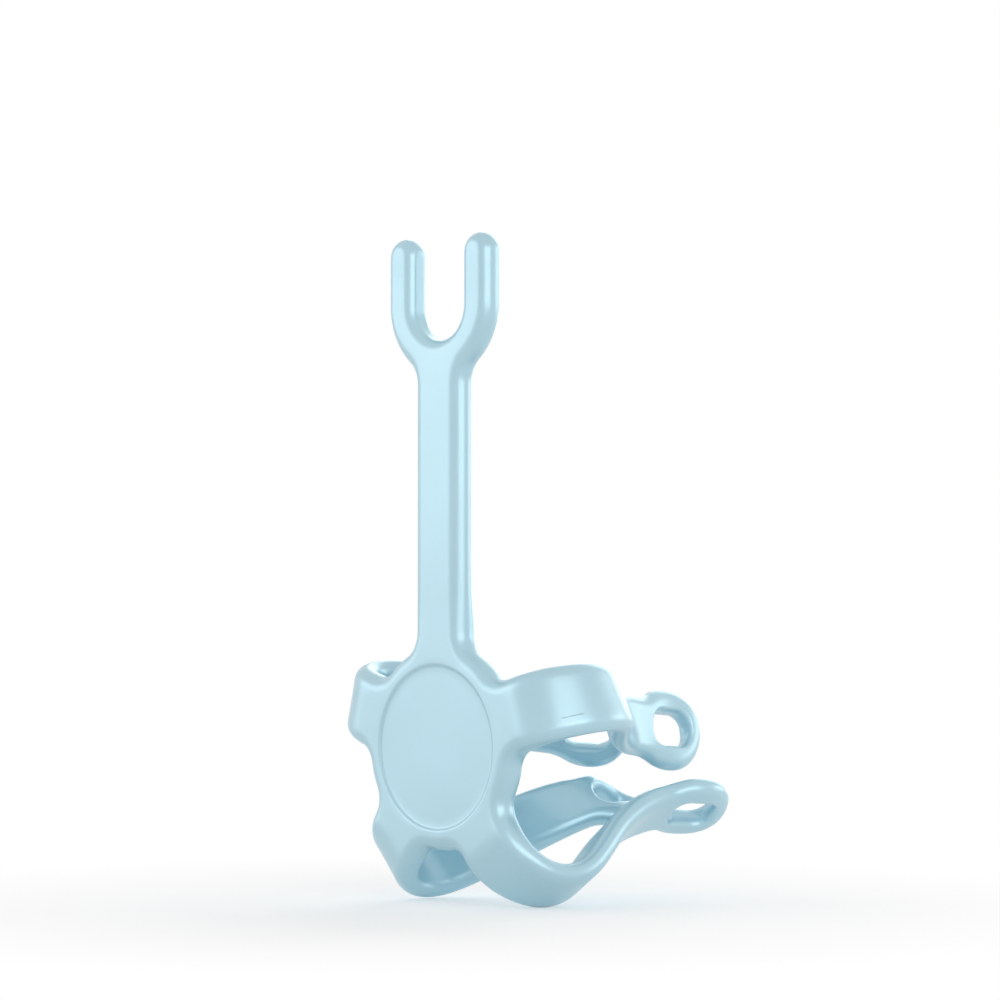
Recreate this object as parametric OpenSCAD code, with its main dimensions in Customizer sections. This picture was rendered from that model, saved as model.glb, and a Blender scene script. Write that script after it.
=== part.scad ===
// Flexible phone mount: one soft moulding over a bendable frame.
// A round hub carries an upright stem with a fork, and four flat strap legs
// that end in eyelet pads. The legs are bent backwards into a claw.
// The hub's back face is the plane y = 0, and the hub's axis runs along Y
// through the origin. The front looks along -Y and the stem points up, +Z.
// The moulding is drawn flat as a five-armed star. Each arm then follows
// its own way, a chain of frames that carries the flat outline into space.

/* [Hub] */
// Diameter of the round hub between the arms
hub_d = 45.5; // [44:0.5:46.5]
// Thickness of the hub
hub_t = 6.8; // [6.2:0.2:7.4]
// Diameter of the shallow round recess in the front
recess_d = 36.5; // [30:0.5:37.5]
// Depth of the recess
recess_depth = 0.5; // [0.3:0.1:0.8]

/* [Stem and fork] */
// Width of the stem
stem_w = 15; // [13.6:0.2:15.6]
// Thickness of the stem and of the fork
stem_t = 6; // [5.6:0.2:6.8]
// Radius of the round seat at the bottom of the fork's slot
seat_r = 8; // [7.4:0.1:8.8]
// Width of each prong of the fork
prong_w = 8.1; // [7.4:0.1:8.8]
// Height of the seat's axis above the hub's axis
seat_h = 97.4; // [86:0.2:110]
// Height of the prongs above the seat's axis
prong_h = 15.2; // [12:0.2:18]

/* [Legs] */
// Length of a leg from the hub's axis to its tip, before it is bent
leg_l = 98.5; // [95:0.5:101]
// Width of a leg at the hub
leg_w = 16.4; // [15:0.2:17]
// Width of a leg at the neck before its pad
neck_w = 13.4; // [12.4:0.2:14]
// Thickness of a leg
leg_t = 5; // [4.6:0.2:5.4]
// Diameter of the round pad at the end of a leg
pad_d = 18.8; // [18:0.2:20]
// Length of the eyelet along the leg
eyelet_l = 10.4; // [9:0.2:11]
// Width of the eyelet across the leg
eyelet_w = 7.6; // [6.6:0.2:8.4]
// Radius of the eyelet's corners
eyelet_r = 3.2; // [2:0.2:3.2]

/* [Frame inside] */
// Diameter of the soft wire in each leg
leg_wire_d = 2.4; // [2:0.1:2.6]
// Diameter of the wire in the stem
stem_wire_d = 3; // [2.6:0.1:3.2]
// Diameter of the disc in the hub that grips the wires
core_d = 30; // [26:1:34]
// Thickness of that disc
core_t = 3.8; // [3.7:0.1:4]

/* [Hidden] */

// The five arms, anticlockwise from the stem, and their angles from +X
STEM = 0;
ARMS = [0:4];
arms = 5;
ARM_ANGLE = [for (i = ARMS) 90 + 72 * i];

// How each leg is bent, in degrees per millimetre at every bend_step along
// it: backwards about its width, twisted about its length, and sideways
bend_step = 10;
LEG_BEND = [
    [],
    [
        [6.5, 6.5, 5, 0.5, -0.5, -1.5, 0, 3],
        [0.5, 0.5, -0.5, 0, -1, 0.5, 0, 1.5],
        [0.3, -0.4, 0.4, 0.2, -0.1, -0.1, -0.6, -0.3]
    ],
    [
        [6.5, 6.5, 5, 0, -0.5, -1.5, -4.5, 0.5],
        [-1.5, -1.5, -1, -0.5, 1, 1.5, 2.5, 3],
        [-0.4, -0.6, -0.4, 0, 0.2, -0.1, 0.2, -0.4]
    ],
    [
        [5, 4, 5.5, 1, -2, -1.5, -2, 0.5],
        [-0.5, -1, 0, 0, 0.5, 1, -1, 1.5],
        [0.2, 0.2, -0.1, 0.3, 0.1, -0.6, -0.1, 0.1]
    ],
    [
        [4, 5, 5.5, 2, -2, -3, -1, -0.5],
        [0, 0, 1, -0.5, 0, -2, 1.5, -1.5],
        [-0.2, 0, 0.5, -0.4, 0.2, -0.3, 0.1, 0.2]
    ]
];

// Roundings of the moulding
edge_r = 3.2;
stem_edge_r = 3.8;
fork_edge_r = 2.8;
leg_edge_r = 2.9;
root_r = [6, 5, 5, 5, 5];
neck_r = 8;
eyelet_edge = 1.2;
fork_root_r = 6;
// Length over which an arm passes from the hub's thickness to its own
thicken_l = 12;
// How far the recess narrows from the face to its floor
recess_slope = 0.6;
// How far the moulded slot stands inside the true seat that is cut in it
seat_land = 0.3;

// The frame inside: where the wires start, what is left between a leg's
// wire and its eyelet, and the fork's round bar with its boss
wire_root = 7;
wire_gap = 3.5;
frame_d = 2.8;
frame_gap = 0.5;
boss_d = 4.4;
boss_l = 9;

// Fineness of the mesh
way_step = 1;
rim_n = 7;
strip_step = 2.6;
stem_n = 6;
root_n = 5;
hub_n = 2;
neck_n = 3;
pad_n = 20;
eyelet_n = 28;
fork_n = 4;
crook_n = 7;
tip_n = 4;
wire_step = 4;
wire_sides = 8;
$fn = 96;

// A value between the items of a list that stand at even steps
function at(list, x) = let(
    i = max(0, min(len(list) - 2, floor(x))),
    f = x - i
) list[i] * (1 - f) + list[i + 1] * f;
function unit(v) = v / norm(v);
function ease(x) = let(t = max(0, min(1, x))) t * t * (3 - 2 * t);
function polar(a, r = 1) = [r * cos(a), r * sin(a)];
function sum(list, n) = n <= 0 ? 0 : list[n - 1] + sum(list, n - 1);

// Half widths of the arms, and where the roundings at their roots end: at
// root_s along the arm, and at root_a round the hub
hub_r = hub_d / 2;
pad_r = pad_d / 2;
half_w = [for (i = ARMS) (i == STEM ? stem_w : leg_w) / 2];
root_s = [for (i = ARMS) sqrt(pow(hub_r + root_r[i], 2) - pow(half_w[i] + root_r[i], 2))];
root_a = [for (i = ARMS) atan2(half_w[i] + root_r[i], root_s[i])];

// Along a leg: the middle of its pad, the start of the neck's rounding, and
// its end, where the pad begins at the angle pad_a from the tip
pad_s = leg_l - pad_r;
neck_dx = sqrt(pow(pad_r + neck_r, 2) - pow(neck_w / 2 + neck_r, 2));
neck_s = pad_s - neck_dx;
joint_s = pad_s - neck_dx * pad_r / (pad_r + neck_r);
pad_a = 180 - atan2(neck_w / 2 + neck_r, neck_dx);

// Along the stem: the same for the fork, a band of even width that runs
// round the seat and up both prongs
slot_r = seat_r - seat_land;
fork_r = seat_r + prong_w;
band_r = (fork_r - slot_r) / 2;
prong_s = seat_h + prong_h - band_r;
fork_dx = sqrt(pow(fork_r + fork_root_r, 2) - pow(stem_w / 2 + fork_root_r, 2));
fork_s = seat_h - fork_dx;
crotch_a = atan2(stem_w / 2 + fork_root_r, fork_dx);
frame_r = slot_r + band_r;
stem_wire_end = seat_h - frame_r - frame_d / 2 - 0.6;

// Frames along an arm, way_step apart: place, direction, front and width
function start_frame(i) = let(
    along = [cos(ARM_ANGLE[i]), 0, sin(ARM_ANGLE[i])],
    front = [0, -1, 0]
) [[0, -hub_t / 2, 0], along, front, cross(front, along)];
function bend_at(i, s) = let(
    x = (s - root_s[i]) / bend_step
) i == STEM || x < 0 ? [0, 0, 0] : [for (row = LEG_BEND[i]) at(row, min(x, len(row) - 1))];
function turned(f, bend) = let(
    r = bend * PI / 180 * way_step,
    along = unit(f[1] - f[2] * r[0] + f[3] * r[2]),
    lean = f[2] + f[1] * r[0] + f[3] * r[1],
    front = unit(lean - along * (lean * along))
) [f[0] + (f[1] + along) * way_step / 2, along, front, cross(front, along)];
function frames(i, l) = [
    for (
        n = 0, f = start_frame(i);
        n * way_step < l + way_step;
        f = turned(f, bend_at(i, n * way_step)), n = n + 1
    ) f
];
way = [for (i = ARMS) frames(i, i == STEM ? seat_h + prong_h : leg_l)];

// The place s along arm i, v across it to the left, d in front of its middle.
// The stem's front stays flush with the hub's.
function thick(i, s) = let(own = i == STEM ? stem_t : leg_t)
    hub_t + (own - hub_t) * ease((s - root_s[i]) / thicken_l);
function lift(i, s) = i == STEM ? (hub_t - thick(i, s)) / 2 : 0;
function placed(i, s, v, d) = let(f = at(way[i], s / way_step))
    f[0] + v * f[3] + (d + lift(i, s)) * f[2];
stem_y = -hub_t + stem_t / 2;

// A column: points down the moulding's side from front to back, at the
// point p of the flat outline, where away points out of the material
function side_angle(k) = 90 - 180 * k / (rim_n - 1);
function column(i, p, away, run) = [
    for (k = [0:rim_n - 1]) let(
        q = p - unit(away) * run * (1 - cos(side_angle(k)))
    ) placed(i, q[0], q[1], sin(side_angle(k)) * thick(i, p[0]) / 2)
];
leg_run = min(leg_edge_r, pad_r - eyelet_l / 2 - eyelet_edge - 0.1);
function stem_run(s) = stem_edge_r + (fork_edge_r - stem_edge_r) * ease((s - fork_s) / fork_dx);
function edge_run(i, s) = let(own = i == STEM ? stem_run(s) : leg_run)
    edge_r + (own - edge_r) * ease((s - root_s[i]) / thicken_l);
function rim(i, p, away) = column(i, p, away, edge_run(i, p[0]));
function hub_column(p, away) = let(run = edge_r) [
    for (k = [0:rim_n - 1]) let(
        q = p - away * run * (1 - cos(side_angle(k)))
    ) [q[0], -hub_t / 2 * (1 + sin(side_angle(k))), q[1]]
];

// Between arm i and the next: the first arm's root rounding, the hub's own
// edge and the next arm's rounding. turn is 1 on an arm's left, -1 on its right.
function root_column(i, turn, t) = let(
    c = polar(ARM_ANGLE[i] + turn * root_a[i], hub_r + root_r[i]),
    a = ARM_ANGLE[i] - turn * (90 + (90 - root_a[i]) * t)
) hub_column(c + polar(a, root_r[i]), -polar(a));
function edge_column(a) = hub_column(polar(a, hub_r), polar(a));
function gap_columns(i) = let(
    j = (i + 1) % arms,
    from = ARM_ANGLE[i] + root_a[i],
    to = ARM_ANGLE[i] + 360 / arms - root_a[j]
) concat(
    [for (n = [1:root_n]) root_column(i, 1, n / root_n)],
    [for (n = [1:hub_n - 1]) edge_column(from + (to - from) * n / hub_n)],
    [for (n = [root_n:-1:1]) root_column(j, -1, n / root_n)]
);

// An arm's strap: pairs of columns, left and right, at stations along it
function stations(i) = let(
    from = root_s[i],
    to = i == STEM ? fork_s : neck_s,
    n = i == STEM ? stem_n : ceil((to - from) / strip_step)
) [for (j = [0:n]) from + (to - from) * j / n];
function flare(r, x) = x <= 0 ? 0 : r - sqrt(r * r - x * x);
function strap_half(i, s) = i == STEM ? stem_w / 2 : let(
    taper = min(1, (s - root_s[i]) / (neck_s - root_s[i]))
) (leg_w + (neck_w - leg_w) * taper) / 2 + flare(neck_r, s - neck_s);
function side_column(i, s, left) = let(
    w = strap_half(i, s),
    slope = s <= root_s[i] ? 0 : (w - strap_half(i, s - 0.01)) / 0.01
) rim(i, [s, left * w], [-slope, left]);
function strap_columns(i) = [
    for (s = stations(i)) each [side_column(i, s, 1), side_column(i, s, -1)]
];

// A leg's pad: columns from the neck's right, round the tip, to its left,
// without the strap's last pair, then the columns of its eyelet
function neck_at(n) = neck_s + (joint_s - neck_s) * n / neck_n;
function eyelet_column(i, a) = let(
    d = [abs(cos(a)), abs(sin(a))],
    c = [eyelet_l / 2 - eyelet_r, eyelet_w / 2 - eyelet_r],
    on_end = c[1] * d[0] >= eyelet_l / 2 * d[1],
    on_side = c[0] * d[1] >= eyelet_w / 2 * d[0],
    t = on_end ? eyelet_l / 2 / d[0]
        : on_side ? eyelet_w / 2 / d[1]
        : d * c + sqrt(pow(d * c, 2) - c * c + eyelet_r * eyelet_r),
    wall = on_end ? [1, 0] : on_side ? [0, 1] : unit(d * t - c),
    flip = [cos(a) < 0 ? -1 : 1, sin(a) < 0 ? -1 : 1]
) column(i, [pad_s + t * cos(a), t * sin(a)], [-wall[0] * flip[0], -wall[1] * flip[1]], eyelet_edge);
function pad_columns(i) = i == STEM ? [] : concat(
    [for (n = [1:neck_n]) side_column(i, neck_at(n), -1)],
    [for (n = [1:pad_n - 1])
        let(d = polar(pad_a * (2 * n / pad_n - 1))) rim(i, [pad_s, 0] + pad_r * d, d)],
    [for (n = [neck_n:-1:1]) side_column(i, neck_at(n), 1)],
    [for (m = [0:eyelet_n - 1]) eyelet_column(i, 360 * m / eyelet_n)]
);
// The angle at which the pad's middle sees each of its outer columns
neck_angles = [for (n = [0:neck_n]) atan2(strap_half(1, neck_at(n)), neck_at(n) - pad_s)];
pad_angles = concat(
    -neck_angles,
    [for (n = [1:pad_n - 1]) pad_a * (2 * n / pad_n - 1)],
    flipped(neck_angles)
);

// The fork's band: pairs of columns, outer and inner, along the rounding from
// the stem to the crotch, round the seat, up the prong and over its tip. turn
// is 1 on the left prong.
function band_pair(turn, o, o_away, i, i_away) = [
    for (item = [[o, o_away], [i, i_away]])
        rim(STEM, [item[0][0], turn * item[0][1]], [item[1][0], turn * item[1][1]])
];
function root_pair(turn, t) = let(
    b = (90 - crotch_a) * t,
    a = crotch_a * t
) band_pair(
    turn,
    [fork_s + fork_root_r * sin(b), stem_w / 2 + fork_root_r * (1 - cos(b))], [-sin(b), cos(b)],
    [seat_h - slot_r * cos(a), slot_r * sin(a)], [cos(a), -sin(a)]
);
function crook_pair(turn, a) = let(d = [-cos(a), sin(a)], c = [seat_h, 0])
    band_pair(turn, c + fork_r * d, d, c + slot_r * d, -d);
function tip_pair(turn, a) = let(
    c = [prong_s, slot_r + band_r],
    o = [sin(a), cos(a)],
    i = [sin(a), -cos(a)]
) band_pair(turn, c + band_r * o, o, c + band_r * i, i);
function band_columns(turn) = concat(
    [for (n = [1:fork_n]) each root_pair(turn, n / fork_n)],
    [for (n = [1:crook_n]) each crook_pair(turn, crotch_a + (90 - crotch_a) * n / crook_n)],
    [for (n = [0:tip_n - 1]) each tip_pair(turn, 90 * n / tip_n)],
    [tip_pair(turn, 90)[0]]
);
seat_column = rim(STEM, [seat_h - slot_r, 0], [1, 0]);

// All columns in order, with the number of each group's first one
hub_centre = [for (k = [0:rim_n - 1]) [0, -hub_t / 2 * (1 + sin(side_angle(k))), 0]];
gap_n = 2 * root_n + hub_n - 1;
band_n = 2 * (fork_n + crook_n + tip_n) + 1;
strap_n = [for (i = ARMS) len(stations(i))];
ring_n = len(pad_angles) - 2;
pad_count = [for (i = ARMS) i == STEM ? 0 : ring_n + eyelet_n];
gap_c = [for (i = ARMS) 1 + i * gap_n];
strap_c = [for (i = ARMS) 1 + arms * gap_n + 2 * sum(strap_n, i)];
pad_c = [for (i = ARMS) 1 + arms * gap_n + 2 * sum(strap_n, arms) + sum(pad_count, i)];
right_c = pad_c[arms - 1] + pad_count[arms - 1];
left_c = right_c + band_n;
seat_c = left_c + band_n;
columns = concat(
    [hub_centre],
    [for (i = ARMS) each gap_columns(i)],
    [for (i = ARMS) each strap_columns(i)],
    [for (i = ARMS) each pad_columns(i)],
    band_columns(-1),
    band_columns(1),
    [seat_column]
);

// Chains of column numbers, as the outline passes them anticlockwise
function strap_end(i, left) = strap_c[i] + 2 * strap_n[i] - (left ? 2 : 1);
function up_strap(i) = [for (j = [0:strap_n[i] - 1]) strap_c[i] + 2 * j + 1];
function down_strap(i) = [for (j = [strap_n[i] - 1:-1:0]) strap_c[i] + 2 * j];
function run_from(c, n) = [for (j = [0:n - 1]) c + j];
function outer_of(c) = [for (j = [0:2:band_n - 3]) c + j];
function inner_of(c) = [for (j = [1:2:band_n - 2]) c + j];
function flipped(list) = [for (j = [len(list) - 1:-1:0]) list[j]];
fork_chain = concat(
    outer_of(right_c), [right_c + band_n - 1], flipped(inner_of(right_c)),
    [seat_c],
    inner_of(left_c), [left_c + band_n - 1], flipped(outer_of(left_c))
);
outline = [for (i = ARMS) each concat(
    up_strap(i),
    i == STEM ? fork_chain : run_from(pad_c[i], ring_n),
    down_strap(i),
    run_from(gap_c[i], gap_n)
)];
hub_loop = [
    for (i = ARMS) each concat([strap_c[i] + 1, strap_c[i]], run_from(gap_c[i], gap_n))
];

// Triangles that fill the flat outline, anticlockwise seen from the front
hub_tris = [
    for (n = [0:len(hub_loop) - 1]) [0, hub_loop[n], hub_loop[(n + 1) % len(hub_loop)]]
];
function ladder(right, left) = [
    for (j = [0:len(right) - 2]) each [
        [right[j], right[j + 1], left[j + 1]],
        [right[j], left[j + 1], left[j]]
    ]
];
function strap_tris(i) = ladder(up_strap(i), flipped(down_strap(i)));

// Round the pad, each outer column faces the eyelet's columns near it
function pad_outer(i, n) = n % (ring_n + 2) == 0 ? strap_end(i, false)
    : n == ring_n + 1 ? strap_end(i, true)
    : pad_c[i] + n - 1;
function pad_inner(i, m) = pad_c[i] + ring_n + (m + eyelet_n) % eyelet_n;
function facing(n) = n < 0 ? facing(ring_n + 1) - eyelet_n
    : round((n > ring_n ? 180 : (pad_angles[n] + pad_angles[n + 1]) / 2) * eyelet_n / 360);
function pad_tris(i) = concat(
    [for (n = [0:ring_n + 1]) [pad_outer(i, n), pad_outer(i, n + 1), pad_inner(i, facing(n))]],
    [for (n = [0:ring_n + 1]) each [
        for (m = [facing(n - 1):1:facing(n) - 1])
            [pad_outer(i, n), pad_inner(i, m + 1), pad_inner(i, m)]
    ]]
);

// The fork: both bands from the stem's end and the seat's middle to the tips
function band_tris(c, end, turn) = let(
    outer = concat([end], outer_of(c)),
    inner = concat([seat_c], inner_of(c)),
    top = c + band_n - 1
) turn > 0
    ? concat(ladder(inner, outer), [[inner[len(inner) - 1], top, outer[len(outer) - 1]]])
    : concat(ladder(outer, inner), [[outer[len(outer) - 1], top, inner[len(inner) - 1]]]);
tris = concat(
    hub_tris,
    [for (i = ARMS) each strap_tris(i)],
    [for (i = ARMS) if (i != STEM) each pad_tris(i)],
    band_tris(right_c, strap_end(STEM, false), -1),
    band_tris(left_c, strap_end(STEM, true), 1),
    [[strap_end(STEM, false), seat_c, strap_end(STEM, true)]]
);

// Loops along which the sides run, with the material on their left
function eyelet_loop(i) = [for (m = [eyelet_n - 1:-1:0]) pad_inner(i, m)];
loops = concat([outline], [for (i = ARMS) if (i != STEM) eyelet_loop(i)]);
function point_no(c, k) = c * rim_n + k;
function wall_faces(a, b) = [
    for (k = [0:rim_n - 2]) each [
        [point_no(a, k), point_no(b, k), point_no(b, k + 1)],
        [point_no(a, k), point_no(b, k + 1), point_no(a, k + 1)]
    ]
];
skin_points = [for (c = columns) each c];
skin_faces = concat(
    [for (t = tris) [point_no(t[2], 0), point_no(t[1], 0), point_no(t[0], 0)]],
    [for (t = tris) [for (c = t) point_no(c, rim_n - 1)]],
    [for (loop = loops) for (n = [0:len(loop) - 1])
        each wall_faces(loop[n], loop[(n + 1) % len(loop)])]
);

module along_y(y) {
    translate([0, y, 0]) rotate([-90, 0, 0]) children();
}

// Shallow round recess in the hub's front, with a sloping wall
module recess() {
    proud = 1;
    spread = recess_slope / recess_depth * proud;
    r = recess_d / 2;
    along_y(-hub_t - proud)
        cylinder(h = recess_depth + proud, r1 = r + spread, r2 = r - recess_slope);
}

// Round seat for a neck in the fork, open at the top
module seat() {
    proud = 1;
    y0 = -hub_t - proud;
    through = stem_t + 2 * proud;
    translate([0, 0, seat_h]) {
        along_y(y0) cylinder(h = through, r = seat_r);
        translate([-seat_r, y0, 0]) cube([2 * seat_r, through, 2 * prong_h]);
    }
}

// A wire along arm i between two places, swept as rings of flats
module wire(i, from, to, d) {
    n = ceil((to - from) / wire_step);
    rings = [for (j = [0:n]) let(s = from + (to - from) * j / n) [
        for (k = [0:wire_sides - 1])
            let(p = polar(360 * k / wire_sides, d / 2)) placed(i, s, p[1], p[0])
    ]];
    walls = [for (j = [0:n - 1]) for (k = [0:wire_sides - 1]) let(
        a = j * wire_sides + k,
        b = j * wire_sides + (k + 1) % wire_sides
    ) each [[a, b, b + wire_sides], [a, b + wire_sides, a + wire_sides]]];
    last = n * wire_sides;
    ends = [for (k = [1:wire_sides - 2]) each [[0, k + 1, k], [last, last + k, last + k + 1]]];
    polyhedron(points = [for (ring = rings) each ring], faces = concat(walls, ends));
}
module leg_wire(i) {
    wire(i, wire_root, pad_s - eyelet_l / 2 - wire_gap, leg_wire_d);
}

// The moulded disc at the middle, and the room that it takes
module core_disc() {
    along_y(-hub_t / 2 - core_t / 2) cylinder(h = core_t, d = core_d);
}
module arm_socket(i, d) {
    translate([0, -hub_t / 2, 0]) rotate([0, 90 - ARM_ANGLE[i], 0]) translate([0, 0, wire_root])
        cylinder(h = core_d, d = d);
}

// The fork's frame: a round bar bent into a U, with a boss at its foot that
// grips the top of the stem's wire
module bar(h) {
    cylinder(h = h, d = frame_d, $fn = 32);
    translate([0, 0, h]) sphere(d = frame_d, $fn = 32);
}
module frame_solid() {
    translate([0, stem_y, seat_h]) {
        rotate([90, 0, 0]) rotate([0, 0, 180]) rotate_extrude(angle = 180) translate([frame_r, 0])
            circle(d = frame_d, $fn = 32);
        for (x = [-frame_r, frame_r]) translate([x, 0, 0]) bar(prong_s - seat_h - frame_gap);
    }
    translate([0, stem_y, seat_h - frame_r - boss_l]) cylinder(h = boss_l, d = boss_d);
}

module silicone_body() {
    color([0.70, 0.84, 0.89])
    difference() {
        polyhedron(points = skin_points, faces = skin_faces);
        recess();
        seat();
        core_disc();
        frame_solid();
        wire(STEM, wire_root, stem_wire_end, stem_wire_d);
        for (i = ARMS) if (i != STEM) leg_wire(i);
    }
}
module hub_core() {
    color([0.25, 0.26, 0.28])
    difference() {
        core_disc();
        for (i = ARMS) arm_socket(i, i == STEM ? stem_wire_d : leg_wire_d);
    }
}
module fork_frame() {
    color([0.25, 0.26, 0.28])
    difference() {
        frame_solid();
        translate([0, stem_y, 0]) cylinder(h = stem_wire_end, d = stem_wire_d);
    }
}
module arm_wire(i) {
    color([0.75, 0.76, 0.78])
    if (i == STEM) wire(i, wire_root, stem_wire_end, stem_wire_d);
    else leg_wire(i);
}

silicone_body();
hub_core();
fork_frame();
arm_wire(STEM);  // stem_wire
arm_wire(1);  // upper_left_wire
arm_wire(2);  // lower_left_wire
arm_wire(3);  // lower_right_wire
arm_wire(4);  // upper_right_wire
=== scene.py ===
import math

import bpy
import numpy as np
from mathutils import Matrix, Vector


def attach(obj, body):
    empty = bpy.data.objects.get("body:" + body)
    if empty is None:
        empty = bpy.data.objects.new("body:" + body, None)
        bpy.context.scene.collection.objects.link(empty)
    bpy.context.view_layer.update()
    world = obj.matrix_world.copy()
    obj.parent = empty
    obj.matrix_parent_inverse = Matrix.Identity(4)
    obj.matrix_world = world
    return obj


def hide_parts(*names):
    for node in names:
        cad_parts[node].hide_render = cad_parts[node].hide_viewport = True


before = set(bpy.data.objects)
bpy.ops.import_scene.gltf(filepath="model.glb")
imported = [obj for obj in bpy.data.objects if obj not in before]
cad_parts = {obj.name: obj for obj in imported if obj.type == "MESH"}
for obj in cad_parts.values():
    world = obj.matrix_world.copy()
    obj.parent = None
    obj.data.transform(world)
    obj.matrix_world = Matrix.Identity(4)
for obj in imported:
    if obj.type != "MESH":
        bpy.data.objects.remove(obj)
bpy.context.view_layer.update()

# Sizes in millimetres, the same as in the solid moulding. Along an arm, s runs from the hub's axis, v across
# it and d from its middle towards its front.
HUB_R = 22.75
HUB_T = 6.8
RECESS_R = 18.25
RECESS_DEPTH = 0.5
STEM_W = 15.0
STEM_T = 6.0
SEAT_R = 8.0
PRONG_W = 8.1
SEAT_H = 97.4
PRONG_H = 15.2
LEG_L = 98.5
LEG_W = 16.4
NECK_W = 13.4
LEG_T = 5.0
PAD_R = 9.4
EYELET_L = 10.4
EYELET_W = 7.6
EYELET_R = 3.2
EDGE_R = 3.2
STEM_EDGE_R = 3.8
FORK_EDGE_R = 2.8
LEG_EDGE_R = 2.9
ROOT_R = [6.0, 5.0, 5.0, 5.0, 5.0]
NECK_R = 8.0
EYELET_EDGE = 1.2
EYELET_LAND = 0.1
FORK_ROOT_R = 6.0
THICKEN_L = 12.0
SEAT_LAND = 0.3

# The five arms, anticlockwise from the stem: upper left, lower left, lower right and upper right leg.
STEM = 0
ARMS = range(5)
ARM_STEP = 72
ARM_ANGLE = [90 + ARM_STEP * i for i in ARMS]

# Degrees per millimetre at every tenth millimetre of each leg, from its root:
# backwards, twisted and sideways. The end of the lower left leg is bent a little otherwise than in the
# solid, so that its pad passes clear of the lower right leg.
BEND_STEP = 10
LEG_BEND = [
    None,
    [
        [6.5, 6.5, 5, 0.5, -0.5, -1.5, 0, 3],
        [0.5, 0.5, -0.5, 0, -1, 0.5, 0, 1.5],
        [0.3, -0.4, 0.4, 0.2, -0.1, -0.1, -0.6, -0.3]
    ],
    [
        [6.5, 6.5, 5, 0, -0.6, -2.2, -4, 0.5],
        [-1.5, -1.5, -1, -0.5, 1, 1.5, 2.5, 3],
        [-0.4, -0.6, -0.4, 0, 0.05, -0.3, 0, -0.4]
    ],
    [
        [5, 4, 5.5, 1, -2, -1.5, -2, 0.5],
        [-0.5, -1, 0, 0, 0.5, 1, -1, 1.5],
        [0.2, 0.2, -0.1, 0.3, 0.1, -0.6, -0.1, 0.1]
    ],
    [
        [4, 5, 5.5, 2, -2, -3, -1, -0.5],
        [0, 0, 1, -0.5, 0, -2, 1.5, -1.5],
        [-0.2, 0, 0.5, -0.4, 0.2, -0.3, 0.1, 0.2]
    ]
]

# The step round the recess: how far outside RECESS_R and how deep.
LIP = 0.35
RECESS_STEP = [(LIP, 0.0), (0.12, 0.02), (-0.04, 0.09), (-0.18, 0.22), (-0.36, 0.38), (-0.55, 0.47),
               (-0.85, RECESS_DEPTH)]

# Fineness of the visible skin: points round an edge, spacing in millimetres, and patches across a strap. The
# FINE values put more columns in the tight roundings. The rings are parts of the way, and the recess's are
# radii. TINY is the step at which a slope is taken.
RIM_N = 21
SPACING = 0.8
ACROSS = 8
ROOT_FINE = 1.4
NECK_FINE = 1.1
CROTCH_FINE_R = FORK_ROOT_R + 3
PRONG_TIP_N = 9
TINY = 0.01
HUB_RINGS = (0.18, 0.38, 0.6, 0.82)
RECESS_RINGS = (16.0, 13.5, 10.5, 7.5, 4.5, 2.0)
PAD_RINGS = (0.2, 0.4, 0.6, 0.8)

# The silicone's own colour.
SILICONE = (0.487, 0.72, 0.81)

# The painted shade of a thin crease on the outer face of the upper right leg, in metres: where it starts, its
# directions, its length, half the width of its dark core and of the whole, the lengths over which it fades at
# its ends, the depths between which it ends behind the face, and how dark the painted shade is beside the
# colour.
CREASE_START = (0.03456, -0.00236, 0.00702)
CREASE_ALONG = (0.567, 0.798, 0.202)
CREASE_ACROSS = (-0.314, -0.017, 0.949)
CREASE_FACE = (0.77, -0.59, 0.24)
CREASE_L = 0.0058
CREASE_CORE = 0.00006
CREASE_HALF_W = 0.00018
CREASE_FADE_IN = 0.0006
CREASE_FADE_OUT = 0.0012
CREASE_DEPTH = (-0.0015, -0.001)
CREASE_SHADE = 0.45

# The camera at the photograph's viewing angle, in degrees from the front and upwards, metres and millimetres.
CAM_YAW = 45.9
CAM_PITCH = 1.57
CAM_PLACE = (0.5854, -0.5541, 0.0323)
CAM_LENS = 131.4
CAM_SENSOR_W = 36
CAM_CLIP = (0.05, 20)

# The floor, in metres: half its side, and where it turns from paper to white. FLOOR_LIFT is its own glow.
FLOOR = 3.0
FLOOR_NEAR = 0.05
FLOOR_FAR = 0.17
FLOOR_LIFT = 0.3

# The lamps: azimuth and height, width and tallness in degrees seen from AIM, and brightness beside a
# white of 1. The azimuth runs from -Y towards +X. Each stands LAMP_FAR metres away and shines with
# LAMP_WATTS for each square metre and unit of brightness.
AIM = Vector((0, 0.01, 0.03))
LAMP_FAR = 1.4
LAMP_WATTS = math.pi
AMBIENT = 0.48
SOFT_BOXES = {
    "right_box": (62, 8, 48, 36, 1.75),
    "side_box": (152, 4, 36, 36, 1.45),
    "left_box": (-48, 8, 44, 44, 1.2),
    "back_box": (205, 20, 42, 50, 1.5)
}


def rad(a):
    return a * math.pi / 180


def unit(v):
    v = np.asarray(v, float)
    return v / np.linalg.norm(v, axis=-1, keepdims=True)


def ease(x):
    t = np.clip(x, 0, 1)
    return t * t * (3 - 2 * t)


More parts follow.
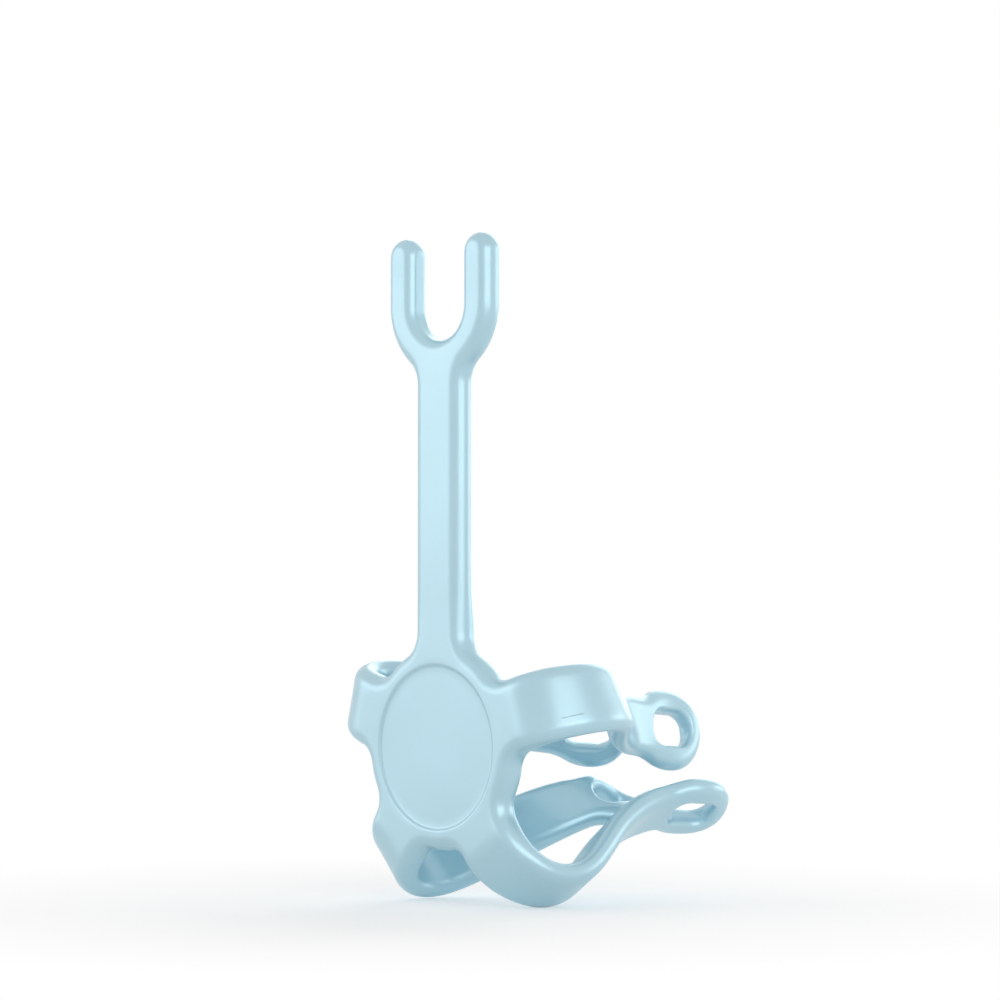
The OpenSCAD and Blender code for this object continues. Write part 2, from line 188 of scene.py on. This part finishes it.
# Where roundings meet straight edges: the roots at the hub, the necks before the pads, and the fork.
HALF_W = [(STEM_W if i == STEM else LEG_W) / 2 for i in ARMS]
ROOT_S = [math.sqrt((HUB_R + ROOT_R[i]) ** 2 - (HALF_W[i] + ROOT_R[i]) ** 2) for i in ARMS]
ROOT_A = [math.degrees(math.atan2(HALF_W[i] + ROOT_R[i], ROOT_S[i])) for i in ARMS]
PAD_S = LEG_L - PAD_R
NECK_DX = math.sqrt((PAD_R + NECK_R) ** 2 - (NECK_W / 2 + NECK_R) ** 2)
NECK_S = PAD_S - NECK_DX
JOINT_S = PAD_S - NECK_DX * PAD_R / (PAD_R + NECK_R)
PAD_A = 180 - math.degrees(math.atan2(NECK_W / 2 + NECK_R, NECK_DX))
SLOT_R = SEAT_R - SEAT_LAND
FORK_R = SEAT_R + PRONG_W
BAND_R = (FORK_R - SLOT_R) / 2
PRONG_S = SEAT_H + PRONG_H - BAND_R
FORK_DX = math.sqrt((FORK_R + FORK_ROOT_R) ** 2 - (STEM_W / 2 + FORK_ROOT_R) ** 2)
FORK_S = SEAT_H - FORK_DX
CROTCH_A = math.degrees(math.atan2(STEM_W / 2 + FORK_ROOT_R, FORK_DX))


def bend_at(i, s):
    """Degrees per millimetre backwards, twisted and sideways."""
    x = (s - ROOT_S[i]) / BEND_STEP
    if i == STEM or x < 0:
        return np.zeros(3)
    return np.array([np.interp(x, range(len(row)), row) for row in LEG_BEND[i]])


def frames(i, length):
    """Frames a millimetre apart along an arm, and a little past it: place, direction, front."""
    a = rad(ARM_ANGLE[i])
    place = np.array([0, -HUB_T / 2, 0])
    along = np.array([math.cos(a), 0, math.sin(a)])
    front = np.array([0, -1.0, 0])
    out = []
    for n in range(int(length) + 3):
        width = np.cross(front, along)
        out.append([place, along, front])
        back, twist, sideways = bend_at(i, n) * math.pi / 180
        new = unit(along - front * back + width * sideways)
        lean = front + along * back + width * twist
        front = unit(lean - new * (lean @ new))
        place = place + (along + new) / 2
        along = new
    return np.array(out)


WAY = [frames(i, SEAT_H + PRONG_H if i == STEM else LEG_L) for i in ARMS]


def way_at(i, s):
    """Smooth frames along an arm: place, direction, front."""
    s = np.asarray(s, float)
    w = WAY[i]
    n = np.clip(np.floor(s).astype(int), 0, len(w) - 2)
    t = (s - n)[..., None, None]
    p0, p1, p2, p3 = w[np.maximum(n - 1, 0)], w[n], w[n + 1], w[np.minimum(n + 2, len(w) - 1)]
    return 0.5 * (2 * p1 + (p2 - p0) * t + (2 * p0 - 5 * p1 + 4 * p2 - p3) * t ** 2
                  + (3 * p1 - p0 - 3 * p2 + p3) * t ** 3)


def thick(i, s):
    return HUB_T + ((STEM_T if i == STEM else LEG_T) - HUB_T) * ease((s - ROOT_S[i]) / THICKEN_L)


def lift(i, s):
    """The stem's front stays flush with the hub's."""
    return (HUB_T - thick(i, s)) / 2 if i == STEM else 0.0


def placed(i, s, v, d):
    """Where a point of an arm lies in space."""
    f = way_at(i, s)
    along = unit(f[..., 1, :])
    front = f[..., 2, :]
    front = unit(front - along * (front * along).sum(-1, keepdims=True))
    width = np.cross(front, along)
    d = np.asarray(d) + lift(i, s)
    return f[..., 0, :] + np.asarray(v)[..., None] * width + d[..., None] * front


def edge_run(i, s):
    """How far the rounding of an edge reaches in from the outline."""
    if i == STEM:
        run = STEM_EDGE_R + (FORK_EDGE_R - STEM_EDGE_R) * ease((s - FORK_S) / FORK_DX)
    else:
        run = min(LEG_EDGE_R, PAD_R - EYELET_L / 2 - EYELET_EDGE - EYELET_LAND)
    return EDGE_R + (run - EDGE_R) * ease((s - ROOT_S[i]) / THICKEN_L)


# From the front round the edge to the back.
THETA = np.radians(90 - 180 * np.arange(RIM_N) / (RIM_N - 1))


class Skin:
    """Collects vertices and faces of the moulding."""

    def __init__(self):
        self.verts = []
        self.faces = []

    def add(self, points):
        first = len(self.verts)
        self.verts.extend(np.asarray(points, float).reshape(-1, 3))
        return first

    def quad(self, a, b, c, d):
        corners = []
        for x in (a, b, c, d):
            if x not in corners:
                corners.append(x)
        if len(corners) > 2:
            self.faces.append(corners)


skin = Skin()


class Col:
    """A column round an edge, or a plain front-and-back pair inside the outline."""

    def __init__(self, flat, first, last):
        self.flat = np.asarray(flat, float)
        self.front = first
        self.back = last


def inwards(p, away, run):
    """Flat places of a column's points, from the outline at p back by the rounding's run."""
    return np.asarray(p)[None] - np.asarray(away)[None] * (run * (1 - np.cos(THETA)))[:, None]


def column(flat, points):
    first = skin.add(points)
    return Col(flat, first, first + RIM_N - 1)


def arm_column(i, p, away, run):
    q = inwards(p, unit(away), run)
    half = thick(i, p[0]) / 2
    return column(q[0], placed(i, q[:, 0], q[:, 1], np.sin(THETA) * half))


def rim(i, p, away):
    return arm_column(i, p, away, edge_run(i, p[0]))


def hub_column(p, away):
    q = inwards(p, away, EDGE_R)
    return column(q[0], np.stack([q[:, 0], -HUB_T / 2 * (1 + np.sin(THETA)), q[:, 1]], -1))


def arm_pair(i, s, v):
    half = thick(i, s) / 2
    first = skin.add(placed(i, np.array([s, s]), np.array([v, v]), np.array([half, -half])))
    return Col((s, v), first, first + 1)


def hub_pair(p, front_y=-HUB_T):
    first = skin.add([[p[0], front_y, p[1]], [p[0], 0, p[1]]])
    return Col(p, first, first + 1)


def polar(a, r=1.0):
    return np.array([r * math.cos(rad(a)), r * math.sin(rad(a))])


def steps(length):
    return max(2, int(math.ceil(length / SPACING)))


def part_way(a, b, t):
    """The flat place between two columns."""
    return a.flat + (b.flat - a.flat) * t


def caps(a, b, c, d):
    """A patch of the front, anticlockwise seen from the front, with its twin on the back."""
    skin.quad(a.front, b.front, c.front, d.front)
    skin.quad(a.back, d.back, c.back, b.back)


def ladder(right, left):
    """Patches between two open chains."""
    for j in range(len(right) - 1):
        caps(right[j], right[j + 1], left[j + 1], left[j])


def band(outer, inner):
    """Patches between two closed rings."""
    for k in range(len(outer)):
        m = (k + 1) % len(outer)
        caps(outer[k], outer[m], inner[m], inner[k])


def wall(chain, closed=False):
    """The rounded edge along a chain of columns."""
    pairs = zip(chain, chain[1:] + chain[:1]) if closed else zip(chain, chain[1:])
    for a, b in pairs:
        for k in range(RIM_N - 1):
            skin.faces.append([a.front + k, a.front + k + 1, b.front + k + 1, b.front + k])


def flare(r, x):
    return 0 if x <= 0 else r - math.sqrt(r * r - x * x)


def strap_half(i, s):
    """Half the width of the stem, or of a leg up to its pad."""
    if i == STEM:
        return STEM_W / 2
    taper = min(1, (s - ROOT_S[i]) / (NECK_S - ROOT_S[i]))
    return (LEG_W + (NECK_W - LEG_W) * taper) / 2 + flare(NECK_R, s - NECK_S)


def side_column(i, s, left):
    """A column of a strap's edge: on its left where left is 1, on its right where it is -1."""
    w = strap_half(i, s)
    slope = 0 if s <= ROOT_S[i] else (w - strap_half(i, s - TINY)) / TINY
    return rim(i, (s, left * w), (-slope, left))


def root_column(i, turn, t):
    """A column of the rounding between an arm and the hub's edge."""
    a = ARM_ANGLE[i] - turn * (90 + (90 - ROOT_A[i]) * t)
    centre = polar(ARM_ANGLE[i] + turn * ROOT_A[i], HUB_R + ROOT_R[i])
    return hub_column(centre + polar(a, ROOT_R[i]), -polar(a))


def gap(i):
    """The columns from an arm to the next one: root rounding, hub edge, root rounding."""
    j = (i + 1) % len(ARMS)
    start = ARM_ANGLE[i] + ROOT_A[i]
    end = ARM_ANGLE[i] + ARM_STEP - ROOT_A[j]
    n1 = steps(rad(90 - ROOT_A[i]) * ROOT_R[i] * ROOT_FINE)
    n2 = steps(rad(90 - ROOT_A[j]) * ROOT_R[j] * ROOT_FINE)
    n = steps(rad(end - start) * HUB_R)
    columns = [root_column(i, 1, k / n1) for k in range(1, n1 + 1)]
    for k in range(1, n):
        a = start + (end - start) * k / n
        columns.append(hub_column(polar(a, HUB_R), polar(a)))
    return columns + [root_column(j, -1, k / n2) for k in range(n2, 0, -1)]


gaps = [gap(i) for i in ARMS]

# The straps, in rows across from right to left.
rows = []
for i in ARMS:
    end = FORK_S if i == STEM else NECK_S
    n = steps(end - ROOT_S[i])
    arm_rows = []
    for k in range(n + 1):
        s = ROOT_S[i] + (end - ROOT_S[i]) * k / n
        right, left = side_column(i, s, -1), side_column(i, s, 1)
        inside = [arm_pair(i, *part_way(right, left, c / ACROSS)) for c in range(1, ACROSS)]
        arm_rows.append([right] + inside + [left])
    rows.append(arm_rows)
    for a, b in zip(arm_rows, arm_rows[1:]):
        for c in range(ACROSS):
            caps(a[c], b[c], b[c + 1], a[c + 1])
    wall([r[0] for r in arm_rows])
    wall([r[-1] for r in reversed(arm_rows)])

# The hub: rings from the loop round it to the recess and on to its floor.
loop = []
for i in ARMS:
    turn = np.array([polar(ARM_ANGLE[i]), polar(ARM_ANGLE[i] + 90)])
    for c in rows[i][0]:
        c.flat = c.flat @ turn
    loop += rows[i][0] + gaps[i]
    wall([rows[i][0][-1]] + gaps[i] + [rows[(i + 1) % len(ARMS)][0][0]])
angles = [math.degrees(math.atan2(c.flat[1], c.flat[0])) for c in loop]
ring = loop
for t in HUB_RINGS:
    new = [hub_pair(c.flat + (polar(a, RECESS_R + LIP) - c.flat) * t) for c, a in zip(loop, angles)]
    band(ring, new)
    ring = new
profile = [(RECESS_R + out, depth) for out, depth in RECESS_STEP] + [(r, RECESS_DEPTH) for r in RECESS_RINGS]
for r, depth in profile:
    new = [hub_pair(polar(a, r), -HUB_T + depth) for a in angles]
    band(ring, new)
    ring = new
centre = hub_pair((0, 0), -HUB_T + RECESS_DEPTH)
band(ring, [centre] * len(ring))


# The pads with their eyelets.
def eyelet_column(i, a):
    """A column of the eyelet's edge, in the direction a from its middle."""
    d = np.abs(polar(a))
    c = np.array([EYELET_L / 2 - EYELET_R, EYELET_W / 2 - EYELET_R])
    if c[1] * d[0] >= EYELET_L / 2 * d[1]:
        t, w = EYELET_L / 2 / d[0], np.array([1.0, 0])
    elif c[0] * d[1] >= EYELET_W / 2 * d[0]:
        t, w = EYELET_W / 2 / d[1], np.array([0, 1.0])
    else:
        t = d @ c + math.sqrt((d @ c) ** 2 - c @ c + EYELET_R ** 2)
        w = unit(d * t - c)
    sign = np.where(polar(a) < 0, -1.0, 1.0)
    return arm_column(i, np.array([PAD_S, 0]) + t * polar(a), -w * sign, EYELET_EDGE)


for i in ARMS:
    if i == STEM:
        continue
    last = rows[i][-1]
    necks = steps((JOINT_S - NECK_S) * NECK_FINE)
    tips = 2 * steps(rad(PAD_A) * PAD_R)
    right = [side_column(i, NECK_S + (JOINT_S - NECK_S) * k / necks, -1) for k in range(1, necks + 1)]
    left = [side_column(i, NECK_S + (JOINT_S - NECK_S) * k / necks, 1) for k in range(necks, 0, -1)]
    tip = []
    for k in range(1, tips):
        d = polar(PAD_A * (2 * k / tips - 1))
        tip.append(rim(i, np.array([PAD_S, 0]) + PAD_R * d, d))
    outer = [last[0]] + right + tip + left + [last[-1]]
    wall(outer)
    outer += last[-2:0:-1]
    hole = [eyelet_column(i, math.degrees(math.atan2(c.flat[1], c.flat[0] - PAD_S))) for c in outer]
    ring = outer
    for t in PAD_RINGS:
        new = [arm_pair(i, *part_way(a, b, t)) for a, b in zip(outer, hole)]
        band(ring, new)
        ring = new
    band(ring, hole)
    wall(hole[::-1], closed=True)


# The fork: from the crotch round the seat and over the tips of both prongs.
def seat_column(a):
    d = polar(a) * [-1, 1]
    return rim(STEM, (SEAT_H + SLOT_R * d[0], SLOT_R * d[1]), -d)


middle = seat_column(0)
last = rows[STEM][-1]
seat, prong = np.array([SEAT_H, 0]), np.array([PRONG_S, SLOT_R + BAND_R])
necks = steps(rad(CROTCH_A) * CROTCH_FINE_R)
crooks = steps(rad(90 - CROTCH_A) * FORK_R)
posts = steps(PRONG_S - SEAT_H)
for turn in (-1, 1):
    flip = np.array([1, turn])
    outer, inner = [last[0] if turn < 0 else last[-1]], [middle]
    for k in range(1, necks + 1):
        # On the rounding between the stem and the fork, evenly by its own angle.
        b = rad((90 - CROTCH_A) * k / necks)
        o = np.array([FORK_S + FORK_ROOT_R * math.sin(b), STEM_W / 2 + FORK_ROOT_R * (1 - math.cos(b))])
        outer.append(rim(STEM, o * flip, np.array([-math.sin(b), math.cos(b)]) * flip))
        inner.append(seat_column(turn * CROTCH_A * k / necks))
    # Each row: the outer edge's place and direction, and the inner edge's.
    rims = []
    for k in range(1, crooks + 1):
        d = np.array([-1.0, 1.0]) * polar(CROTCH_A + (90 - CROTCH_A) * k / crooks)
        rims.append((seat + FORK_R * d, d, seat + SLOT_R * d, -d))
    for k in range(1, posts):
        s = SEAT_H + (PRONG_S - SEAT_H) * k / posts
        d = np.array([0, 1.0])
        rims.append((np.array([s, FORK_R]), d, np.array([s, SLOT_R]), -d))
    for k in range(PRONG_TIP_N):
        a = rad(90 * k / PRONG_TIP_N)
        d, e = np.array([math.sin(a), math.cos(a)]), np.array([math.sin(a), -math.cos(a)])
        rims.append((prong + BAND_R * d, d, prong + BAND_R * e, e))
    for o, o_away, n, n_away in rims:
        outer.append(rim(STEM, o * flip, o_away * flip))
        inner.append(rim(STEM, n * flip, n_away * flip))
    top = rim(STEM, (prong + np.array([BAND_R, 0])) * flip, (1.0, 0.0))
    outer.append(top)
    inner.append(top)
    right, left = (outer, inner) if turn < 0 else (inner, outer)
    ladder(right, left)
    wall(right)
    wall(left[::-1])
for c in range(ACROSS):
    caps(last[c], middle, middle, last[c + 1])

# The true seat is cut in the moulded slot, as a narrow land.
verts = np.array(skin.verts)
z = verts[:, 2] - SEAT_H
r = np.hypot(verts[:, 0], z)
bottom = (z < 0) & (r < SEAT_R)
scale = np.where(bottom, SEAT_R / r, 1)
verts[:, 0] *= scale
verts[:, 2] = SEAT_H + z * scale
flanks = (z >= 0) & (np.abs(verts[:, 0]) < SEAT_R)
verts[flanks, 0] = np.sign(verts[flanks, 0]) * SEAT_R


def make_object(name, verts, faces):
    mesh = bpy.data.meshes.new(name)
    mesh.from_pydata([tuple(v) for v in verts], [], faces)
    mesh.validate()
    obj = bpy.data.objects.new(name, mesh)
    bpy.context.scene.collection.objects.link(obj)
    return obj


body = make_object("moulded_skin", verts * 0.001, skin.faces)
body.data.polygons.foreach_set("use_smooth", [True] * len(body.data.polygons))
body.data.update()
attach(body, "root")
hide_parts("silicone_body")


# Materials. Coordinates are metres, so a scale of 1000 gives a cell of a millimetre.
def new_material(name, colour, roughness, metallic=0.0):
    material = bpy.data.materials.new(name)
    material.use_nodes = True
    nodes = material.node_tree.nodes
    shader = nodes["Principled BSDF"]
    shader.inputs["Base Color"].default_value = (*colour, 1)
    shader.inputs["Roughness"].default_value = roughness
    shader.inputs["Metallic"].default_value = metallic
    return material, nodes, material.node_tree.links, shader


def place_of(nodes):
    return nodes.new("ShaderNodeTexCoord").outputs["Object"]


def noise(nodes, links, place, scale, detail):
    node = nodes.new("ShaderNodeTexNoise")
    node.inputs["Scale"].default_value = scale
    node.inputs["Detail"].default_value = detail
    links.new(place, node.inputs["Vector"])
    return node.outputs["Fac"]


def spread(nodes, links, value, low, high, start=0.15, end=0.85):
    """Maps a value from start..end to low..high. The defaults take in nearly all of a noise."""
    node = nodes.new("ShaderNodeMapRange")
    for name, number in (("From Min", start), ("From Max", end), ("To Min", low), ("To Max", high)):
        node.inputs[name].default_value = number
    links.new(value, node.inputs["Value"])
    return node.outputs["Result"]


def reckon(nodes, links, operation, *values):
    node = nodes.new("ShaderNodeMath")
    node.operation = operation
    for socket, value in zip(node.inputs, values):
        links.new(value, socket)
    return node.outputs["Value"]


def reckon_vector(nodes, links, operation, vector, other=(0, 0, 0)):
    node = nodes.new("ShaderNodeVectorMath")
    node.operation = operation
    links.new(vector, node.inputs[0])
    node.inputs[1].default_value = other
    return node.outputs["Vector" if operation == "SUBTRACT" else "Value"]


def scaled_colour(colour, factor):
    return [min(1.0, c * factor) for c in colour]


def between_colours(nodes, links, value, first, second):
    """The first colour at 0 and the second at 1. The first may be a node's output."""
    node = nodes.new("ShaderNodeMix")
    node.data_type = "RGBA"
    if isinstance(first, bpy.types.NodeSocket):
        links.new(first, node.inputs["A"])
    else:
        node.inputs["A"].default_value = (*first, 1)
    node.inputs["B"].default_value = (*second, 1)
    links.new(value, node.inputs["Factor"])
    return node.outputs["Result"]


def bumped(nodes, links, shader, height, distance, strength):
    bump = nodes.new("ShaderNodeBump")
    bump.inputs["Distance"].default_value = distance
    bump.inputs["Strength"].default_value = strength
    links.new(height, bump.inputs["Height"])
    links.new(bump.outputs["Normal"], shader.inputs["Normal"])


def painted_crease_shade(nodes, links, place, colour):
    """Paints shade into the colour along the thin crease, unevenly, and on its own face of the leg only."""
    away = reckon_vector(nodes, links, "SUBTRACT", place, CREASE_START)
    along = reckon_vector(nodes, links, "DOT_PRODUCT", away, CREASE_ALONG)
    across = reckon_vector(nodes, links, "DOT_PRODUCT", away, CREASE_ACROSS)
    face = reckon_vector(nodes, links, "DOT_PRODUCT", away, CREASE_FACE)
    line = spread(nodes, links, reckon(nodes, links, "ABSOLUTE", across), 1, 0, CREASE_CORE, CREASE_HALF_W)
    for part in (
        spread(nodes, links, along, 0, 1, 0, CREASE_FADE_IN),
        spread(nodes, links, along, 1, 0, CREASE_L - CREASE_FADE_OUT, CREASE_L),
        spread(nodes, links, face, 0, 1, *CREASE_DEPTH),
        spread(nodes, links, noise(nodes, links, place, scale=900, detail=1), 0.35, 1)
    ):
        line = reckon(nodes, links, "MULTIPLY", line, part)
    return between_colours(nodes, links, line, colour, scaled_colour(SILICONE, CREASE_SHADE))


def satin_silicone():
    """Light blue moulded silicone: soft clouds of pigment, painted shade along one crease, a silky face and a
    very fine mould grain.
    """
    material, nodes, links, shader = new_material("silicone_satin", SILICONE, roughness=0.3, metallic=0.3)
    shader.inputs["Specular IOR Level"].default_value = 0.6
    shader.inputs["Subsurface Weight"].default_value = 0.3
    shader.inputs["Subsurface Radius"].default_value = (0.7, 1.0, 1.2)
    shader.inputs["Subsurface Scale"].default_value = 0.002
    place = place_of(nodes)
    clouds = spread(nodes, links, noise(nodes, links, place, scale=40, detail=1), 0, 1)
    colour = between_colours(nodes, links, clouds, scaled_colour(SILICONE, 0.96), scaled_colour(SILICONE, 1.04))
    # The base colour carries painted shade along a thin crease of the upper right leg.
    links.new(painted_crease_shade(nodes, links, place, colour), shader.inputs["Base Color"])
    rub = spread(nodes, links, noise(nodes, links, place, scale=110, detail=2), 0.29, 0.34)
    links.new(rub, shader.inputs["Roughness"])
    grain = noise(nodes, links, place, scale=700, detail=1)
    bumped(nodes, links, shader, grain, distance=0.00001, strength=0.25)
    return material


def moulded_plastic():
    """Dark moulded nylon with a dull, slightly mottled face."""
    material, nodes, links, shader = new_material("core_nylon", (0.045, 0.047, 0.052), roughness=0.55)
    place = place_of(nodes)
    mottle = spread(nodes, links, noise(nodes, links, place, scale=300, detail=3), 0, 1)
    colour = between_colours(nodes, links, mottle, (0.04, 0.042, 0.046), (0.052, 0.054, 0.06))
    links.new(colour, shader.inputs["Base Color"])
    dullness = spread(nodes, links, noise(nodes, links, place, scale=900, detail=4), 0.48, 0.62)
    links.new(dullness, shader.inputs["Roughness"])
    grain = noise(nodes, links, place, scale=1800, detail=3)
    bumped(nodes, links, shader, grain, distance=0.00006, strength=0.4)
    return material


def drawn_wire():
    """Soft aluminium wire with a dull oxide and fine pits."""
    material, nodes, links, shader = new_material("drawn_aluminium", (0.75, 0.76, 0.78), roughness=0.35,
                                                  metallic=1.0)
    place = place_of(nodes)
    oxide = spread(nodes, links, noise(nodes, links, place, scale=400, detail=3), 0, 1)
    colour = between_colours(nodes, links, oxide, (0.69, 0.70, 0.72), (0.79, 0.80, 0.82))
    links.new(colour, shader.inputs["Base Color"])
    dullness = spread(nodes, links, noise(nodes, links, place, scale=1500, detail=4), 0.28, 0.44)
    links.new(dullness, shader.inputs["Roughness"])
    pits = noise(nodes, links, place, scale=3500, detail=2)
    bumped(nodes, links, shader, pits, distance=0.00003, strength=0.3)
    return material


body.data.materials.append(satin_silicone())
plastic, metal = moulded_plastic(), drawn_wire()
for names, material in (
    (("hub_core", "fork_frame"), plastic),
    (("stem_wire", "upper_left_wire", "lower_left_wire", "lower_right_wire", "upper_right_wire"), metal)
):
    for name in names:
        for slot in bpy.data.objects[name].material_slots:
            slot.material = material

# The camera.
yaw, pitch = math.radians(CAM_YAW), math.radians(CAM_PITCH)
forward = Vector((-math.sin(yaw) * math.cos(pitch), math.cos(yaw) * math.cos(pitch), math.sin(pitch)))
side = Vector((math.cos(yaw), math.sin(yaw), 0))
up = side.cross(forward)
cam = bpy.data.cameras.new("camera")
cam.lens = CAM_LENS
cam.sensor_width = CAM_SENSOR_W
cam.clip_start, cam.clip_end = CAM_CLIP
cam_obj = bpy.data.objects.new("camera", cam)
cam_obj.matrix_world = Matrix((
    (side.x, up.x, -forward.x, CAM_PLACE[0]),
    (side.y, up.y, -forward.y, CAM_PLACE[1]),
    (side.z, up.z, -forward.z, CAM_PLACE[2]),
    (0, 0, 0, 1),
))
bpy.context.scene.collection.objects.link(cam_obj)
bpy.context.scene.camera = cam_obj
bpy.context.scene.view_settings.view_transform = "Standard"


def backdrop_rays(nodes, links):
    """1 for the rays that show the backdrop: those of the camera, of gloss and of glass."""
    path = nodes.new("ShaderNodeLightPath")
    seen = path.outputs["Is Camera Ray"]
    for kind in ("Is Glossy Ray", "Is Transmission Ray"):
        seen = reckon(nodes, links, "MAXIMUM", seen, path.outputs[kind])
    return seen


def mixed_shaders(nodes, links, factor, first, second):
    mix = nodes.new("ShaderNodeMixShader")
    links.new(factor, mix.inputs["Fac"])
    links.new(first, mix.inputs[1])
    links.new(second, mix.inputs[2])
    return mix.outputs["Shader"]


def pale_floor(height):
    """Pale and matt. Away from the object it shows as white as the backdrop."""
    corners = [(x * FLOOR, y * FLOOR, height) for x, y in ((-1, -1), (1, -1), (1, 1), (-1, 1))]
    floor = make_object("floor", corners, [(0, 1, 2, 3)])
    material, nodes, links, shader = new_material("floor_paper", (0.9, 0.9, 0.9), roughness=0.95)
    shader.inputs["Specular IOR Level"].default_value = 0.0
    paper = shader.outputs["BSDF"]
    glow = nodes.new("ShaderNodeEmission")
    glow.inputs["Strength"].default_value = FLOOR_LIFT
    near = nodes.new("ShaderNodeAddShader")
    links.new(paper, near.inputs[0])
    links.new(glow.outputs["Emission"], near.inputs[1])
    white = nodes.new("ShaderNodeEmission").outputs["Emission"]
    distance = reckon_vector(nodes, links, "LENGTH", place_of(nodes))
    far = nodes.new("ShaderNodeMapRange")
    far.interpolation_type = "SMOOTHSTEP"
    far.inputs["From Min"].default_value = FLOOR_NEAR
    far.inputs["From Max"].default_value = FLOOR_FAR
    links.new(distance, far.inputs["Value"])
    seen = mixed_shaders(nodes, links, far.outputs["Result"], near.outputs["Shader"], white)
    surface = mixed_shaders(nodes, links, backdrop_rays(nodes, links), paper, seen)
    links.new(surface, nodes["Material Output"].inputs["Surface"])
    floor.data.materials.append(material)


def soft_box(name, azimuth, height, width, tall, level):
    a, e = math.radians(azimuth), math.radians(height)
    place = AIM + LAMP_FAR * Vector((math.sin(a) * math.cos(e), -math.cos(a) * math.cos(e), math.sin(e)))
    light = bpy.data.lights.new(name, "AREA")
    light.shape = "RECTANGLE"
    light.size = 2 * LAMP_FAR * math.tan(math.radians(width / 2))
    light.size_y = 2 * LAMP_FAR * math.tan(math.radians(tall / 2))
    light.energy = level * LAMP_WATTS * light.size * light.size_y
    lamp = bpy.data.objects.new(name, light)
    lamp.location = place
    lamp.rotation_mode = "QUATERNION"
    lamp.rotation_quaternion = (AIM - place).to_track_quat("-Z", "Y")
    lamp.visible_camera = False
    bpy.context.scene.collection.objects.link(lamp)


def studio_world():
    """Even light from all round. Camera, gloss and glass see white."""
    world = bpy.data.worlds.new("studio")
    bpy.context.scene.world = world
    world.use_nodes = True
    nodes, links = world.node_tree.nodes, world.node_tree.links
    even = nodes["Background"]
    even.inputs["Color"].default_value = (1, 1, 1, 1)
    even.inputs["Strength"].default_value = AMBIENT
    white = nodes.new("ShaderNodeBackground")
    white.inputs["Color"].default_value = (1, 1, 1, 1)
    white.inputs["Strength"].default_value = 1.0
    light = mixed_shaders(nodes, links, backdrop_rays(nodes, links), even.outputs["Background"],
                          white.outputs["Background"])
    links.new(light, nodes["World Output"].inputs["Surface"])


pale_floor(verts[:, 2].min() * 0.001)
for name, box in SOFT_BOXES.items():
    soft_box(name, *box)
studio_world()
